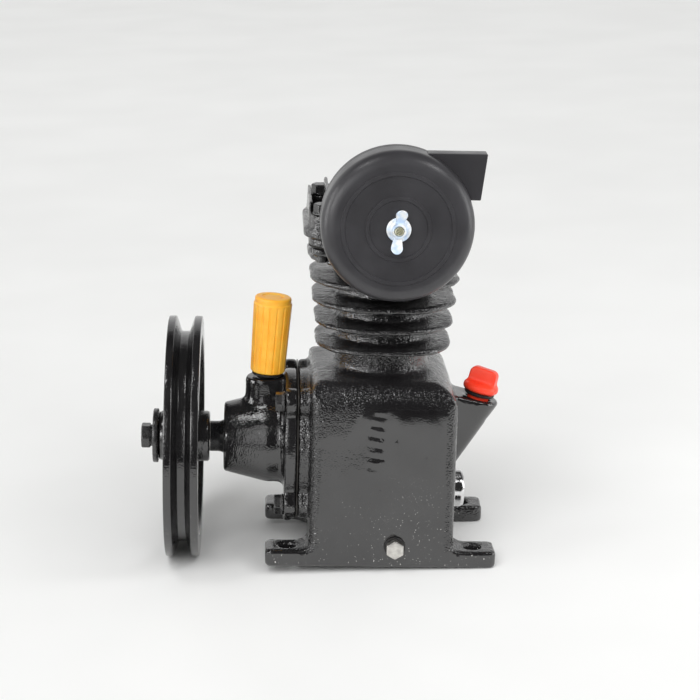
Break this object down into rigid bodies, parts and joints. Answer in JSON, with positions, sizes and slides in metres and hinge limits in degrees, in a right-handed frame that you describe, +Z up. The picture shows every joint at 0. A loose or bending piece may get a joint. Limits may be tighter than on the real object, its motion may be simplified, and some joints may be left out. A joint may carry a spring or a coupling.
{
  "type": "air compressor pump",
  "caption": "Belt-driven reciprocating air-compressor pump: finned cylinder on a footed crankcase, V-belt flywheel, drum intake filter, breather and oil plug.",
  "frame": {"origin": "centre of the flat base, on the cylinder's axis", "axes": "+Z up along the cylinder, crankshaft along X with the flywheel at -X, intake filter at -Y"},
  "size_m": [0.2705, 0.2013, 0.328],
  "materials": {
    "black_enamel": "thick gloss enamel over a sand-cast surface",
    "black_bolts": "satin black oxide",
    "black_plastic": "fine satin grain",
    "orange_plastic": "smooth moulded",
    "red_plastic": "smooth moulded",
    "bright_zinc": "blue-white zinc plate",
    "brass_stud": "machined",
    "chrome_bezel": "polished",
    "machined_steel": "turned and ground",
    "bearing_steel": "ground",
    "ring_iron": "ground",
    "cast_aluminium": "as cast and machined",
    "bronze": "machined",
    "gasket_fibre": "compressed fibre",
    "black_rubber": "moulded",
    "clear_glass": "clear",
    "filter_paper": "pleated paper"
  },
  "bodies": {
    "block": {"crankcase_with_cylinder": "black_enamel", "bearing_carrier": "black_enamel", "cylinder_head": "black_enamel", "carrier_gasket": "gasket_fibre", "cylinder_gasket": "gasket_fibre", "head_gasket": "gasket_fibre", "shaft_seal": "black_rubber", "breather_neck": "black_rubber", "front_bearing_outer_ring": "bearing_steel", "rear_bearing_outer_ring": "bearing_steel", "valve_plate": "machined_steel", "suction_reed": "machined_steel", "delivery_reed": "machined_steel", "delivery_reed_stop": "machined_steel", "filter_back_plate": "black_plastic", "filter_element": "filter_paper", "filter_stud": "brass_stud", "sight_glass_bezel": "chrome_bezel", "sight_glass_lens": "clear_glass", "carrier_bolt_1": "black_bolts", "head_bolt_1": "black_bolts", "carrier_bolt_2": "black_bolts", "head_bolt_2": "black_bolts", "carrier_bolt_3": "black_bolts", "head_bolt_3": "black_bolts", "carrier_bolt_4": "black_bolts", "head_bolt_4": "black_bolts"},
    "crank": {"crankshaft": "machined_steel", "flywheel_key": "machined_steel", "flywheel": "black_enamel", "flywheel_washer": "black_bolts", "flywheel_bolt": "black_bolts", "front_bearing_inner_ring": "bearing_steel", "rear_bearing_inner_ring": "bearing_steel", "rod_retaining_bolt": "machined_steel"},
    "rod": {"connecting_rod": "cast_aluminium", "big_end_bush": "bronze", "wrist_pin": "machined_steel"},
    "piston": {"piston": "cast_aluminium", "compression_ring_top": "ring_iron", "compression_ring_lower": "ring_iron", "oil_control_ring": "ring_iron"},
    "front_balls": {"front_bearing_balls_and_cage": "bearing_steel"},
    "rear_balls": {"rear_bearing_balls_and_cage": "bearing_steel"},
    "oil_plug": {"oil_filler_plug": "red_plastic", "filler_o_ring": "black_rubber"},
    "breather_cap": {"breather_cap": "orange_plastic"},
    "filter_cover": {"filter_cover": "black_plastic"},
    "wing_nut": {"wing_nut": "bright_zinc"},
    "drain_plug": {"drain_plug": "bright_zinc", "drain_plug_gasket": "black_rubber"}
  },
  "joints": [
    {"name": "crank_turn", "type": "hinge", "parent": "block", "child": "crank", "pos_m": [0, 0, 0.081], "axis": [1, 0, 0], "continuous": true},
    {"name": "rod_turn", "type": "hinge", "parent": "crank", "child": "rod", "pos_m": [0, 0, 0.097], "axis": [1, 0, 0], "continuous": true},
    {"name": "front_balls_turn", "type": "hinge", "parent": "block", "child": "front_balls", "pos_m": [-0.0965, 0, 0.081], "axis": [1, 0, 0], "continuous": true},
    {"name": "rear_balls_turn", "type": "hinge", "parent": "block", "child": "rear_balls", "pos_m": [-0.052, 0, 0.081], "axis": [1, 0, 0], "continuous": true},
    {"name": "piston_slide", "type": "slide", "parent": "block", "child": "piston", "axis": [0, 0, 1], "range_m": [-0.032, 0]},
    {"name": "oil_plug_pull", "type": "slide", "parent": "block", "child": "oil_plug", "axis": [0.2215, 0, 0.9751], "range_m": [0, 0.03]},
    {"name": "breather_cap_pull", "type": "slide", "parent": "block", "child": "breather_cap", "axis": [0.0628, 0, 0.998], "range_m": [0, 0.025]},
    {"name": "filter_cover_pull", "type": "slide", "parent": "block", "child": "filter_cover", "axis": [0, -1, 0], "range_m": [0, 0.045]},
    {"name": "wing_nut_turn", "type": "hinge", "parent": "filter_cover", "child": "wing_nut", "pos_m": [0.0035, -0.1, 0.264], "axis": [0, -1, 0], "continuous": true},
    {"name": "drain_plug_pull", "type": "slide", "parent": "block", "child": "drain_plug", "axis": [0, -1, 0], "range_m": [0, 0.02]}
  ],
  "couplings": [
    {"joint": "rod_turn", "follows": "crank_turn", "ratio": -1},
    {"joint": "front_balls_turn", "follows": "crank_turn", "ratio": 0.4},
    {"joint": "rear_balls_turn", "follows": "crank_turn", "ratio": 0.4}
  ]
}
